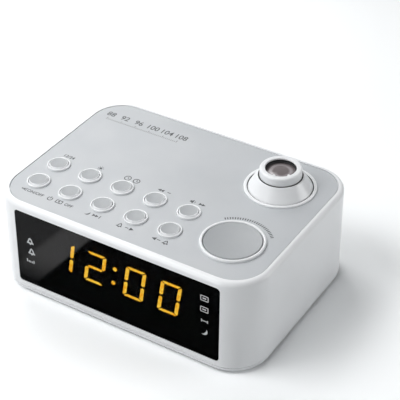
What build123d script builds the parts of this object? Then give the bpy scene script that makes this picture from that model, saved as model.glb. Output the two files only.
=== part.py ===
from build123d import *
import os
from math import cos, radians, sin, sqrt, tan

# Projection alarm clock. Millimetres, Z up, front face towards -Y.
# The origin is on the table, at the middle of the clock's footprint.
os.makedirs("parts", exist_ok=True)

# ---------------------------------------------------------------- driving sizes
# Case
case_width = 166.4
case_depth = 119.4
case_height = 57.3
corner_radius = 21.2
front_lean = 2.05
wall = 2.4
top_wall = 2.2
rim_width = 3.2
rim_fillet = 2.7
foot_stand = 1.9
slip = 0.2
fit = 0.05

# Top plate
plate_thickness = 1.0
plate_recess = 0.3
plate_gap = 0.4

# Base
base_thickness = 2.0
base_inset = 0.1
base_round = 0.5
seam_height = 0.4
seam_depth = 0.6
spigot_height = 3.0
spigot_wall = 1.6
well_height = 6.0
well_depth = 4.0
foot_radius = 6.0
foot_seat = 0.6
foot_fillet = 0.6
foot_inset_x = 29.2
foot_inset_y = 9.7
post_root = 1.0
pilot_floor = 0.6
flange_relief = 2.0

# Screws
screw_radius = 1.5
screw_head_radius = 2.8
screw_head_height = 1.8
screw_length = 9.0
small_screw_radius = 1.0
small_head_radius = 2.0
small_head_height = 1.2
small_screw_length = 5.0
screw_fit = 0.03
drive_width = 0.6
case_screw_inset = 11.0
case_boss_radius = 3.9
column_radius = 2.5

# Display window and display
window_width = 131.0
window_height = 48.2
window_radius = 2.4
window_drop = 4.1
window_setback = 0.35
window_thickness = 1.4
window_gap = 0.15
frame_wall = 1.6
frame_depth = 8.0
frame_flange = 2.0
frame_flange_top = 0.7
frame_flange_thickness = 1.2
flat_margin = 0.5
display_gap = 0.2
digit_height = 20.3
digit_width = 12.7
digit_offset = 4.0
digit_slant = 8.5
digit_centers = (-33.9, -13.0, 12.4, 34.4)
colon_center = -0.6
colon_spacing = 9.6
colon_radius = 1.2
segment_width = 2.05
segment_height = 1.4
segment_gap = 0.55
segment_chamfer = 0.5
segment_thickness = 0.3

# Keys
button_columns = 5
button_rows = 2
button_pitch_x = 21.65
button_pitch_y = 18.5
button_start = (-65.7, -35.9)
collar_radius = 6.56
collar_wall = 0.85
collar_rise = 1.2
collar_round = 0.35
button_dish_radius = 4.8
button_cap_rise = 0.5
button_bevel_width = 0.5
button_bevel_height = 0.8
button_dish_sag = 0.45
snooze_center = (54.1, -27.1)
snooze_radius = 17.5
snooze_collar_wall = 1.6
snooze_rise = 1.5
snooze_round = 0.65
snooze_dish_radius = 15.15
snooze_cap_drop = 0.1
snooze_bevel_width = 0.35
snooze_bevel_height = 0.6
snooze_dish_sag = 1.5
cap_gap = 0.35
cap_skin = 1.2
cap_wall = 1.0
cap_flange = 1.2
cap_flange_thickness = 1.0
cap_play = 0.1
insert_floor = 0.3
insert_drop = 0.05
key_travel = 0.8
key_board_drop = 10.0
key_board_low = (-74.0, -38.3)
key_board_high = (79.0, -9.0)
key_column_steps = (0.5, 2.5, 4.5)
key_column_reach = 21.5
board_thickness = 1.6
switch_size = 6.0
switch_height = 3.5
switch_dip = 0.3
stem_radius = 1.7

# Projector
projector_center = (51.1, 28.6)
ball_radius = 19.2
ball_depth = 6.5
socket_wall = 1.0
socket_lap = 0.85
socket_rise = 1.0
socket_round = 0.4
ball_gap = 0.3
ball_bottom = 9.5
waist_drop = 0.4
dome_top_radius = 13.0
dome_top_rise = 8.3
dome_round = 0.3
cradle_wall = 2.8
cradle_low = 6.5
cradle_high = 1.9
cup_wall = 1.9
cradle_foot = 1.6
retainer_thickness = 2.0
retainer_lap = 0.6
ear_offset = 4.25
ear_width = 7.0
ear_length = 11.0
ear_setback = 1.5
ear_angle = 135.0
ear_step = 90.0
ear_count = 3
trunnion_radius = 1.5
trunnion_reach = 2.8
trunnion_gap = 0.3
focus_radius = 11.7
focus_rise = 13.2
focus_foot = 1.8
focus_opening = 8.6
focus_bore = 9.6
focus_lip = 0.9
focus_round = 1.2
well_gap = 0.45
focus_travel = 0.75
carrier_fit = 0.08
carrier_wall = 1.5
carrier_length = 12.6
lens_radius = 8.6
lens_seat = 2.7
lens_edge = 1.4
lens_sag = 1.0
lcd_size = 13.0
lcd_thickness = 1.4
dome_rim = 3.2
light_bore_top = 6.2
light_tube_radius = 9.5
light_tube_wall = 1.2
light_tube_top = -3.6
led_board_rise = 1.2
led_radius = 2.5
led_height = 5.0
lead_radius = 1.1
lead_gap = 0.7
lead_plug = (6.0, 5.0, 6.0)

# Speaker
speaker_center = (-38.0, 16.0)
speaker_radius = 26.0
speaker_screw_reach = 29.2
speaker_screw_count = 3
speaker_rim = 1.2
speaker_head_radius = 4.2
basket_mouth = 21.5
basket_throat = 13.3
basket_height = 9.6
basket_wall = 1.0
basket_bore = 5.0
cone_mouth = 21.3
cone_lift = 0.2
cone_paper = 0.4
cone_cap = 5.8
cone_cap_height = 6.6
cone_cap_thickness = 0.6
voice_coil_radius = 4.9
voice_coil_wall = 0.7
voice_coil_top = 9.5
magnet_radius = 13.0
magnet_height = 8.0
magnet_chamfer = 0.8
grille_slots = 9
grille_radius = 21.0
grille_pitch = 4.4
grille_slot = 1.8

# Battery bay
bay_low = (-46.0, -44.0)
bay_high = (8.0, -18.0)
bay_depth = 12.6
bay_wall = 1.6
door_thickness = 1.5
door_gap = 0.25
door_ledge = 1.2
groove_count = 4
groove_pitch = 2.4
groove_length = 12.0
groove_width = 1.2
groove_depth = 0.5
contact_thickness = 0.4
contact_width = 8.0

# Main board and sockets
main_board_left = -6.0
main_board_size = (70.0, 63.0)
main_board_gap = 2.3
main_board_height = 8.0
main_board_inset = 5.0
post_radius = 2.8
tuner_chip = ((16.0, 26.0), (14.0, 14.0, 2.0))
clock_chip = ((34.0, 14.0), (10.0, 8.0, 2.0))
tuner_coil = ((18.0, 46.0), (8.0, 16.0, 7.0))
lead_header = ((58.0, 16.0), (12.0, 10.0, 8.0))
capacitor_places = [(32.0, 30.0), (32.0, 40.0), (46.0, 18.0)]
capacitor_radius = 3.2
capacitor_height = 11.0
dc_x = 52.0
dc_nose_radius = 4.6
dc_bore_radius = 2.8
dc_bore_depth = 9.5
dc_pin_radius = 0.95
dc_width = 9.6
aux_x = 34.0
aux_nose_radius = 3.0
aux_bore_radius = 1.8
aux_bore_depth = 12.0
aux_width = 7.2
outlet_x = 18.0
outlet_radius = 2.6
grommet_flange = 1.0
grommet_bore = 0.9
jack_depth = 13.0
nose_setback = 0.4
jack_margin = 0.6
jack_root = 1.0

# ---------------------------------------------------------------- worked out from them
base_bottom = foot_stand
shell_bottom = base_bottom + base_thickness
plate_top = base_bottom + case_height
case_top = plate_top + plate_recess
plate_seat = plate_top - plate_thickness
ceiling = plate_seat - top_wall
back_face = case_depth / 2
inner_back = back_face - wall
lean = tan(radians(front_lean))


def case_front(height):
    return -case_depth / 2 + (height - base_bottom) * lean


def case_outline(height, inset):
    low = case_front(height) + inset
    high = back_face - inset
    with BuildSketch(Plane.XY.offset(height)) as outline:
        with Locations((0, (low + high) / 2)):
            RectangleRounded(case_width - 2 * inset, high - low, corner_radius - inset)
    return outline.sketch


def turned(center, points):
    # A closed profile of (radius, height) points, standing on the axis at center.
    side = Plane(origin=(center[0], center[1], 0), x_dir=(1, 0, 0), z_dir=(0, -1, 0))
    with BuildSketch(side) as profile:
        with BuildLine():
            Polyline(*points, close=True)
        make_face()
    return profile.sketch


def upright(center):
    return Axis((center[0], center[1], 0), (0, 0, 1))


def disc(center, radius, low, high):
    return turned(center, [(0, low), (radius, low), (radius, high), (0, high)])


def ring(center, inner, outer, low, high):
    return turned(center, [(inner, low), (outer, low), (outer, high), (inner, high)])


def rectangle(low, high, height):
    with BuildSketch(Plane.XY.offset(height)) as face:
        with Locations(((low[0] + high[0]) / 2, (low[1] + high[1]) / 2)):
            Rectangle(high[0] - low[0], high[1] - low[1])
    return face.sketch


def save(builder, name):
    builder.part.label = name
    export_step(builder.part, f"parts/{name}.step")


def corners(x, y):
    return [(-x, -y), (x, -y), (-x, y), (x, y)]


plate_low = case_front(case_top) + rim_width
plate_high = back_face - rim_width
plate_y = (plate_low + plate_high) / 2
plate_size = (case_width - 2 * rim_width, plate_high - plate_low)
plate_corner = corner_radius - rim_width

button_places = []
for row in range(button_rows):
    for column in range(button_columns):
        x = button_start[0] + column * button_pitch_x
        y = button_start[1] + row * button_pitch_y + plate_y
        button_places.append((x, y))
snooze = (snooze_center[0], snooze_center[1] + plate_y)
projector = (projector_center[0], projector_center[1] + plate_y)

case_screw_places = corners(case_width / 2 - case_screw_inset, case_depth / 2 - case_screw_inset)
foot_places = corners(case_width / 2 - foot_inset_x, case_depth / 2 - foot_inset_y)
# The key board hangs on columns that stand between the two rows of keys.
column_y = button_start[1] + button_pitch_y / 2 + plate_y
key_columns = [(button_start[0] + step * button_pitch_x, column_y) for step in key_column_steps]
key_columns.append((snooze[0] + key_column_reach, column_y))

collar_inner = collar_radius - collar_wall
snooze_inner = snooze_radius - snooze_collar_wall
cap_radius = collar_inner - cap_gap
snooze_cap_radius = snooze_inner - cap_gap
collar_top = plate_top + collar_rise
snooze_top = plate_top + snooze_rise

key_board_top = ceiling - key_board_drop
key_board_bottom = key_board_top - board_thickness
switch_top = key_board_top + switch_height
stem_low = switch_top - switch_dip

window_middle = plate_top - window_drop - window_height / 2
# The display frame's lips bear on the flat part of the front wall, between the rounded corners.
flat_width = case_width - 2 * corner_radius - 2 * flat_margin
frame_span = max(window_width, flat_width)
front_slope = radians(front_lean)
front_plane = Plane(
    origin=(0, case_front(window_middle), window_middle),
    x_dir=(1, 0, 0),
    z_dir=(0, -cos(front_slope), sin(front_slope)),
)
window_back = window_setback + window_thickness
segment_front = window_back + display_gap
module_front = segment_front + segment_thickness
frame_back = window_back + frame_depth

ball_center = plate_top - ball_depth
socket_radius = ball_radius + socket_wall
socket_opening = ball_radius - socket_lap
socket_top = plate_top + socket_rise
cradle_inner = ball_radius + ball_gap
cradle_outer = cradle_inner + cradle_wall
cradle_top = ball_center + cradle_high
cradle_bottom = ball_center - cradle_low
cup_inner = cradle_outer + fit
cup_outer = cup_inner + cup_wall
cradle_bore = ball_radius - cradle_foot
retainer_opening = ball_radius - retainer_lap
retainer_top = cradle_bottom - fit
retainer_bottom = retainer_top - retainer_thickness
dome_top = plate_top + dome_top_rise
dome_waist = socket_top - waist_drop
dome_bottom = ball_center - ball_bottom
light_bore = sqrt(ball_radius**2 - ball_bottom**2) - dome_rim
focus_top = plate_top + focus_rise
focus_bottom = plate_top + focus_foot
carrier_top = focus_top - focus_lip - focus_travel - 2 * fit
lens_bottom = carrier_top - lens_seat
light_top = plate_top + light_tube_top
led_board_bottom = dome_bottom + led_board_rise
led_board_top = led_board_bottom + board_thickness
ear_reach = cup_outer + ear_offset
projector_ears = []
for number in range(ear_count):
    angle = radians(ear_angle + ear_step * number)
    projector_ears.append((projector[0] + ear_reach * cos(angle), projector[1] + ear_reach * sin(angle)))

# Places on the main board are measured from its left front corner.
main_board_low = (main_board_left, inner_back - main_board_gap - main_board_size[1])
main_board_high = (main_board_left + main_board_size[0], inner_back - main_board_gap)
main_board_bottom = shell_bottom + main_board_height
main_board_top = main_board_bottom + board_thickness
dc_height = main_board_top + dc_nose_radius + jack_margin
aux_height = main_board_top + aux_nose_radius + jack_margin
bay_ceiling = base_bottom + bay_depth
well_top = base_bottom + well_height
nose_end = back_face - nose_setback
main_posts = [
    (x, y)
    for x in (main_board_low[0] + main_board_inset, main_board_high[0] - main_board_inset)
    for y in (main_board_low[1] + main_board_inset, main_board_high[1] - main_board_inset)
]
speaker_seat = shell_bottom + speaker_rim
speaker_posts = []
for number in range(speaker_screw_count):
    angle = radians(90 + 360 / speaker_screw_count * number)
    speaker_posts.append(
        (
            speaker_center[0] + speaker_screw_reach * cos(angle),
            speaker_center[1] + speaker_screw_reach * sin(angle),
        )
    )


def screw(place, seat, tip, shank, head, head_height, up):
    # A pan head screw: its head lies below the seat when up is 1, above it when up is -1.
    top = seat - up * head_height
    outline = [(0, top), (head, top), (head, seat), (shank, seat), (shank, tip), (0, tip)]
    revolve(turned(place, outline), axis=upright(place))
    with Locations((place[0], place[1], top)):
        Box(head, drive_width, head_height, mode=Mode.SUBTRACT)
        Box(drive_width, head, head_height, mode=Mode.SUBTRACT)


def bar(start, end, ends, half, reach):
    # The outline of one display segment, half as wide as half says, with the digit's outside on its left.
    # An end is a "tip" where three segments meet, or a "miter" with its outer point cut off at a corner of
    # the digit.
    length = sqrt((end[0] - start[0]) ** 2 + (end[1] - start[1]) ** 2)
    along = ((end[0] - start[0]) / length, (end[1] - start[1]) / length)
    across = (-along[1], along[0])
    tip = segment_height / 2
    kept = 1 - segment_chamfer / segment_height
    first = {
        "tip": [(segment_gap + tip, -half), (segment_gap, 0), (segment_gap + tip, half)],
        "miter": [
            (segment_gap + reach, -half),
            (segment_gap - reach * kept, half * kept),
            (segment_gap - reach * kept + segment_chamfer, half),
        ],
    }
    last = [(length - shift, side) for shift, side in reversed(first[ends[1]])]
    outline = []
    for shift, side in first[ends[0]] + last:
        outline.append(
            (start[0] + along[0] * shift + across[0] * side, start[1] + along[1] * shift + across[1] * side)
        )
    return outline


# ---------------------------------------------------------------- upper shell
with BuildPart() as upper_shell:
    loft(sections=[case_outline(shell_bottom, 0), case_outline(case_top, 0)])
    fillet(upper_shell.faces().sort_by(Axis.Z)[-1].edges(), rim_fillet)
    loft(
        sections=[case_outline(shell_bottom, wall), case_outline(ceiling, wall)],
        mode=Mode.SUBTRACT,
    )
    with BuildSketch(Plane.XY.offset(case_top)):
        with Locations((0, plate_y)):
            RectangleRounded(*plate_size, plate_corner)
    extrude(amount=-(case_top - plate_seat), mode=Mode.SUBTRACT)
    # Collars round the keys rise through the plate.
    for place in button_places:
        revolve(ring(place, collar_inner, collar_radius, ceiling, collar_top), axis=upright(place))
    revolve(ring(snooze, snooze_inner, snooze_radius, ceiling, snooze_top), axis=upright(snooze))
    rings = upper_shell.edges().filter_by(GeomType.CIRCLE)
    fillet(rings.filter_by_position(Axis.Z, collar_top - fit, collar_top + fit), collar_round)
    rings = upper_shell.edges().filter_by(GeomType.CIRCLE)
    fillet(rings.filter_by_position(Axis.Z, snooze_top - fit, snooze_top + fit), snooze_round)
    for place in button_places:
        revolve(disc(place, collar_inner, ceiling, case_top), axis=upright(place), mode=Mode.SUBTRACT)
    revolve(disc(snooze, snooze_inner, ceiling, case_top), axis=upright(snooze), mode=Mode.SUBTRACT)
    revolve(
        disc(projector, socket_radius + slip, ceiling, case_top),
        axis=upright(projector),
        mode=Mode.SUBTRACT,
    )
    # Window opening in the leaning front wall.
    with BuildSketch(front_plane):
        RectangleRounded(window_width, window_height, window_radius)
    extrude(amount=-wall * 2, mode=Mode.SUBTRACT)
    # Columns for the case screws, the key board and the projector.
    for place in case_screw_places:
        revolve(disc(place, case_boss_radius, well_top, plate_seat), axis=upright(place))
        revolve(
            disc(place, screw_radius + screw_fit, well_top, well_top + screw_length),
            axis=upright(place),
            mode=Mode.SUBTRACT,
        )
    for place in key_columns + projector_ears:
        foot = key_board_top if place in key_columns else retainer_top
        revolve(disc(place, column_radius, foot, plate_seat), axis=upright(place))
        revolve(
            disc(place, small_screw_radius + screw_fit, foot, foot + small_screw_length),
            axis=upright(place),
            mode=Mode.SUBTRACT,
        )
    # Holes in the back wall for the sockets and the aerial lead.
    with BuildSketch(Plane.XZ.offset(-back_face)):
        with Locations((dc_x, dc_height)):
            Circle(dc_nose_radius + slip)
        with Locations((aux_x, aux_height)):
            Circle(aux_nose_radius + slip)
        with Locations((outlet_x, aux_height)):
            Circle(outlet_radius)
    extrude(amount=wall * 2, mode=Mode.SUBTRACT)
save(upper_shell, "upper_shell")

# ---------------------------------------------------------------- top plate
with BuildPart() as top_plate:
    with BuildSketch(Plane.XY.offset(plate_seat)):
        with Locations((0, plate_y)):
            RectangleRounded(
                plate_size[0] - 2 * plate_gap, plate_size[1] - 2 * plate_gap, plate_corner - plate_gap
            )
        with Locations(*button_places):
            Circle(collar_radius + slip / 2, mode=Mode.SUBTRACT)
        with Locations(snooze):
            Circle(snooze_radius + slip / 2, mode=Mode.SUBTRACT)
        with Locations(projector):
            Circle(socket_radius + slip / 2, mode=Mode.SUBTRACT)
    extrude(amount=plate_thickness)
save(top_plate, "top_plate")

# ---------------------------------------------------------------- base cover
bay_size = (bay_high[0] - bay_low[0], bay_high[1] - bay_low[1])
bay_middle = ((bay_low[0] + bay_high[0]) / 2, (bay_low[1] + bay_high[1]) / 2)
with BuildPart() as base_cover:
    seam_bottom = shell_bottom - seam_height
    loft(sections=[case_outline(base_bottom, base_inset), case_outline(seam_bottom, base_inset)])
    fillet(base_cover.faces().sort_by(Axis.Z)[0].edges(), base_round)
    # A groove under the shell's edge marks the joint.
    loft(sections=[case_outline(seam_bottom, seam_depth), case_outline(shell_bottom, seam_depth)])
    spigot_low = case_front(shell_bottom) + wall + slip
    spigot_high = back_face - wall - slip
    spigot_size = (case_width - 2 * (wall + slip), spigot_high - spigot_low)
    for place in case_screw_places:
        revolve(disc(place, case_boss_radius, base_bottom, well_top), axis=upright(place))
    # Where the shell's wall reaches a boss, the boss is cut back to stand inside it.
    with BuildSketch(Plane.XY.offset(shell_bottom)):
        Rectangle(case_width, case_depth)
        with Locations((0, (spigot_low + spigot_high) / 2)):
            RectangleRounded(*spigot_size, corner_radius - wall - slip, mode=Mode.SUBTRACT)
    extrude(amount=well_top - shell_bottom, mode=Mode.SUBTRACT)
    with BuildSketch(Plane.XY.offset(shell_bottom)):
        with Locations((0, (spigot_low + spigot_high) / 2)):
            RectangleRounded(*spigot_size, corner_radius - wall - slip)
            RectangleRounded(
                spigot_size[0] - 2 * spigot_wall,
                spigot_size[1] - 2 * spigot_wall,
                corner_radius - wall - slip - spigot_wall,
                mode=Mode.SUBTRACT,
            )
        # The display frame's flange hangs where the front of the spigot would be.
        with Locations((0, spigot_low)):
            Rectangle(frame_span + 2 * flange_relief, 2 * (spigot_wall + flange_relief), mode=Mode.SUBTRACT)
    extrude(amount=spigot_height)
    for place in case_screw_places:
        revolve(
            disc(place, screw_head_radius + slip, base_bottom, base_bottom + well_depth),
            axis=upright(place),
            mode=Mode.SUBTRACT,
        )
        revolve(
            disc(place, screw_radius + slip, base_bottom, well_top),
            axis=upright(place),
            mode=Mode.SUBTRACT,
        )
    for place in foot_places:
        revolve(
            disc(place, foot_radius + fit, base_bottom, base_bottom + foot_seat),
            axis=upright(place),
            mode=Mode.SUBTRACT,
        )
    for place in main_posts:
        revolve(disc(place, post_radius, shell_bottom - post_root, main_board_bottom), axis=upright(place))
        revolve(
            disc(
                place,
                small_screw_radius + screw_fit,
                main_board_bottom + board_thickness - small_screw_length,
                main_board_bottom,
            ),
            axis=upright(place),
            mode=Mode.SUBTRACT,
        )
    for place in speaker_posts:
        revolve(disc(place, post_radius, shell_bottom - post_root, speaker_seat), axis=upright(place))
        revolve(
            disc(place, small_screw_radius + screw_fit, base_bottom + pilot_floor, speaker_seat),
            axis=upright(place),
            mode=Mode.SUBTRACT,
        )
    # Sound slots under the speaker.
    with BuildSketch(Plane.XY.offset(base_bottom)):
        with Locations(speaker_center):
            for number in range(grille_slots):
                offset_y = (number - (grille_slots - 1) / 2) * grille_pitch
                with Locations((0, offset_y)):
                    SlotOverall(2 * sqrt(grille_radius**2 - offset_y**2), grille_slot)
    extrude(amount=base_thickness, mode=Mode.SUBTRACT)
    # Battery bay with a ledge for its door.
    with BuildSketch(Plane.XY.offset(base_bottom)):
        with Locations(bay_middle):
            Rectangle(bay_size[0] + 2 * bay_wall, bay_size[1] + 2 * bay_wall)
    extrude(amount=bay_depth + bay_wall)
    with BuildSketch(Plane.XY.offset(base_bottom)):
        with Locations(bay_middle):
            Rectangle(*bay_size)
    extrude(amount=bay_depth, mode=Mode.SUBTRACT)
    with BuildSketch(Plane.XY.offset(base_bottom)):
        with Locations(bay_middle):
            Rectangle(bay_size[0] + 2 * door_ledge, bay_size[1] + 2 * door_ledge)
    extrude(amount=door_thickness, mode=Mode.SUBTRACT)
save(base_cover, "base_cover")

# ---------------------------------------------------------------- battery door and contacts
with BuildPart() as battery_door:
    with BuildSketch(Plane.XY.offset(base_bottom)):
        with Locations(bay_middle):
            Rectangle(
                bay_size[0] + 2 * (door_ledge - door_gap), bay_size[1] + 2 * (door_ledge - door_gap)
            )
    extrude(amount=door_thickness - fit)
    chamfer(battery_door.faces().sort_by(Axis.Z)[0].edges(), door_gap)
    # Thumb grooves.
    with BuildSketch(Plane.XY.offset(base_bottom)):
        with Locations(bay_middle):
            with GridLocations(groove_length, groove_pitch, 1, groove_count):
                SlotOverall(groove_length, groove_width)
    extrude(amount=groove_depth, mode=Mode.SUBTRACT)
save(battery_door, "battery_door")

with BuildPart() as battery_contacts:
    for end in (bay_low[0] + contact_thickness / 2, bay_high[0] - contact_thickness / 2):
        for side in (-1, 1):
            place_y = bay_middle[1] + side * bay_size[1] / 4
            with Locations((end, place_y, bay_ceiling - contact_width / 2)):
                Box(contact_thickness, contact_width, contact_width)
save(battery_contacts, "battery_contacts")

# ---------------------------------------------------------------- rubber feet
with BuildPart() as rubber_feet:
    for place in foot_places:
        revolve(disc(place, foot_radius, 0, base_bottom + foot_seat), axis=upright(place))
    fillet(
        rubber_feet.edges().filter_by(GeomType.CIRCLE).filter_by_position(Axis.Z, -fit, fit), foot_fillet
    )
save(rubber_feet, "rubber_feet")

# ---------------------------------------------------------------- screws
with BuildPart() as case_screws:
    for place in case_screw_places:
        seat = base_bottom + well_depth
        screw(place, seat, seat + screw_length, screw_radius, screw_head_radius, screw_head_height, 1)
save(case_screws, "case_screws")

with BuildPart() as board_screws:
    for place in main_posts:
        tip = main_board_top - small_screw_length
        screw(place, main_board_top, tip, small_screw_radius, small_head_radius, small_head_height, -1)
    for place in key_columns:
        tip = key_board_bottom + small_screw_length
        screw(place, key_board_bottom, tip, small_screw_radius, small_head_radius, small_head_height, 1)
save(board_screws, "board_screws")

with BuildPart() as projector_screws:
    for place in projector_ears:
        tip = retainer_bottom + small_screw_length
        screw(place, retainer_bottom, tip, small_screw_radius, small_head_radius, small_head_height, 1)
save(projector_screws, "projector_screws")

with BuildPart() as speaker_screws:
    for place in speaker_posts:
        tip = base_bottom + pilot_floor + 2 * fit
        screw(place, speaker_seat, tip, small_screw_radius, speaker_head_radius, small_head_height, -1)
save(speaker_screws, "speaker_screws")

# ---------------------------------------------------------------- display
with BuildPart() as display_window:
    with BuildSketch(front_plane.offset(-window_setback)):
        RectangleRounded(
            window_width - 2 * window_gap, window_height - 2 * window_gap, window_radius - window_gap
        )
    extrude(amount=-window_thickness)
save(display_window, "display_window")

tube_size = (window_width - 2 * window_gap, window_height - 2 * window_gap)
inside_size = (tube_size[0] - 2 * frame_wall, tube_size[1] - 2 * frame_wall)
with BuildPart() as display_frame:
    with BuildSketch(front_plane.offset(-window_back)):
        RectangleRounded(*tube_size, window_radius - window_gap)
    extrude(amount=-frame_depth)
    with BuildSketch(front_plane.offset(-wall)):
        with Locations((0, (frame_flange_top - frame_flange) / 2)):
            Rectangle(flat_width, window_height + frame_flange + frame_flange_top)
    extrude(amount=-frame_flange_thickness)
    with BuildSketch(front_plane.offset(-window_back)):
        Rectangle(*inside_size)
    extrude(amount=-frame_depth, mode=Mode.SUBTRACT)
save(display_frame, "display_frame")

with BuildPart() as led_module:
    with BuildSketch(front_plane.offset(-module_front)):
        Rectangle(inside_size[0] - slip, inside_size[1] - slip)
    extrude(amount=-(frame_back - module_front))
save(led_module, "led_module")

half_width = (digit_width - segment_width) / 2
half_height = (digit_height - segment_height) / 2
segment_paths = {
    "a": ((-half_width, half_height), (half_width, half_height), ("miter", "miter")),
    "b": ((half_width, half_height), (half_width, 0), ("miter", "tip")),
    "c": ((half_width, 0), (half_width, -half_height), ("tip", "miter")),
    "d": ((half_width, -half_height), (-half_width, -half_height), ("miter", "miter")),
    "e": ((-half_width, -half_height), (-half_width, 0), ("miter", "tip")),
    "f": ((-half_width, 0), (-half_width, half_height), ("tip", "miter")),
    "g": ((-half_width, 0), (half_width, 0), ("tip", "tip")),
}
shown = ("bc", "abged", "abcdef", "abcdef")
slant = tan(radians(digit_slant))
with BuildPart() as display_segments:
    with BuildSketch(front_plane.offset(-module_front)):
        for center, letters in zip(digit_centers, shown):
            for letter in letters:
                halves = (segment_height / 2, segment_width / 2)
                if letter in "bcef":
                    halves = (segment_width / 2, segment_height / 2)
                outline = [
                    (center + u + v * slant, digit_offset + v)
                    for u, v in bar(*segment_paths[letter], *halves)
                ]
                with BuildLine():
                    Polyline(*outline, close=True)
                make_face()
        for side in (-1, 1):
            height = side * colon_spacing / 2
            with Locations((colon_center + height * slant, digit_offset + height)):
                Circle(colon_radius)
    extrude(amount=segment_thickness)
save(display_segments, "display_segments")

with BuildPart() as display_board:
    with BuildSketch(front_plane.offset(-frame_back)):
        Rectangle(*tube_size)
    extrude(amount=-board_thickness)
save(display_board, "display_board")

# ---------------------------------------------------------------- key board and switches
key_places = button_places + [snooze]
with BuildPart() as key_board:
    extrude(rectangle(key_board_low, key_board_high, key_board_bottom), amount=board_thickness)
    for place in key_columns:
        revolve(
            disc(place, small_screw_radius + slip, key_board_bottom, key_board_top),
            axis=upright(place),
            mode=Mode.SUBTRACT,
        )
save(key_board, "key_board")

with BuildPart() as key_switches:
    with BuildSketch(Plane.XY.offset(key_board_top)):
        with Locations(*key_places):
            Rectangle(switch_size, switch_size)
    extrude(amount=switch_height)
    with BuildSketch(Plane.XY.offset(switch_top)):
        with Locations(*key_places):
            Circle(stem_radius + fit)
    extrude(amount=-(switch_dip + key_travel + slip), mode=Mode.SUBTRACT)
save(key_switches, "key_switches")


def key_cap(place, radius, top, dish, sag, bevel_width, bevel_height):
    pocket = top - sag - insert_floor
    roof = pocket - cap_skin
    flange_top = ceiling - cap_play
    flange_bottom = flange_top - cap_flange_thickness
    outline = [
        (0, stem_low),
        (stem_radius, stem_low),
        (stem_radius, roof),
        (radius - cap_wall, roof),
        (radius - cap_wall, flange_bottom),
        (radius + cap_flange, flange_bottom),
        (radius + cap_flange, flange_top),
        (radius, flange_top),
        (radius, top - bevel_height),
        (radius - bevel_width, top),
        (dish, top),
        (dish, pocket),
        (0, pocket),
    ]
    revolve(turned(place, outline), axis=upright(place))


def key_insert(place, top, dish, sag):
    # A disc whose top face is hollowed by a shallow sphere.
    pocket = top - sag - insert_floor
    rim = top - insert_drop
    sphere_radius = (dish**2 + sag**2) / (2 * sag)
    revolve(disc(place, dish, pocket, rim), axis=upright(place))
    with Locations((place[0], place[1], rim - sag + sphere_radius)):
        Sphere(sphere_radius, mode=Mode.SUBTRACT)


for number, place in enumerate(button_places, start=1):
    top = collar_top + button_cap_rise
    with BuildPart() as button:
        key_cap(
            place,
            cap_radius,
            top,
            button_dish_radius,
            button_dish_sag,
            button_bevel_width,
            button_bevel_height,
        )
    save(button, f"button_{number}")
    with BuildPart() as button_insert:
        key_insert(place, top, button_dish_radius, button_dish_sag)
    save(button_insert, f"button_insert_{number}")

snooze_cap_top = snooze_top - snooze_cap_drop
with BuildPart() as snooze_button:
    key_cap(
        snooze,
        snooze_cap_radius,
        snooze_cap_top,
        snooze_dish_radius,
        snooze_dish_sag,
        snooze_bevel_width,
        snooze_bevel_height,
    )
save(snooze_button, "snooze_button")
with BuildPart() as snooze_insert:
    key_insert(snooze, snooze_cap_top, snooze_dish_radius, snooze_dish_sag)
save(snooze_insert, "snooze_insert")

# ---------------------------------------------------------------- projector
with BuildPart() as projector_socket:
    revolve(
        turned(
            projector,
            [
                (cup_inner, retainer_top),
                (cup_outer, retainer_top),
                (cup_outer, ceiling),
                (socket_radius, ceiling),
                (socket_radius, socket_top),
                (socket_opening, socket_top),
                (socket_opening, cradle_top + fit),
                (cup_inner, cradle_top + fit),
            ],
        ),
        axis=upright(projector),
    )
    with Locations((*projector, ball_center)):
        Sphere(cradle_inner, mode=Mode.SUBTRACT)
    rings = projector_socket.edges().filter_by(GeomType.CIRCLE)
    fillet(rings.filter_by_position(Axis.Z, socket_top - fit, socket_top + fit), socket_round)
save(projector_socket, "projector_socket")

with BuildPart() as projector_retainer:
    with BuildSketch(Plane.XY.offset(retainer_bottom)):
        with Locations(projector):
            Circle(cup_outer)
            span = (ear_count - 1) * ear_step
            with PolarLocations(ear_reach - ear_setback, ear_count, ear_angle, span, endpoint=True):
                SlotOverall(ear_length, ear_width)
            Circle(retainer_opening, mode=Mode.SUBTRACT)
        with Locations(*projector_ears):
            Circle(small_screw_radius + slip, mode=Mode.SUBTRACT)
    extrude(amount=retainer_thickness)
save(projector_retainer, "projector_retainer")

trunnion_end = ball_radius - trunnion_reach
with BuildPart() as swivel_cradle:
    revolve(
        ring(projector, cradle_bore, cradle_outer, cradle_bottom, cradle_top),
        axis=upright(projector),
    )
    with Locations((*projector, ball_center)):
        Sphere(cradle_inner, mode=Mode.SUBTRACT)
    for side in (-1, 1):
        pin = Plane(
            origin=(projector[0] + side * trunnion_end, projector[1], ball_center), z_dir=(side, 0, 0)
        )
        with BuildSketch(pin):
            Circle(trunnion_radius)
        extrude(amount=cradle_inner - trunnion_end + cradle_wall / 2)
save(swivel_cradle, "swivel_cradle")

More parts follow.
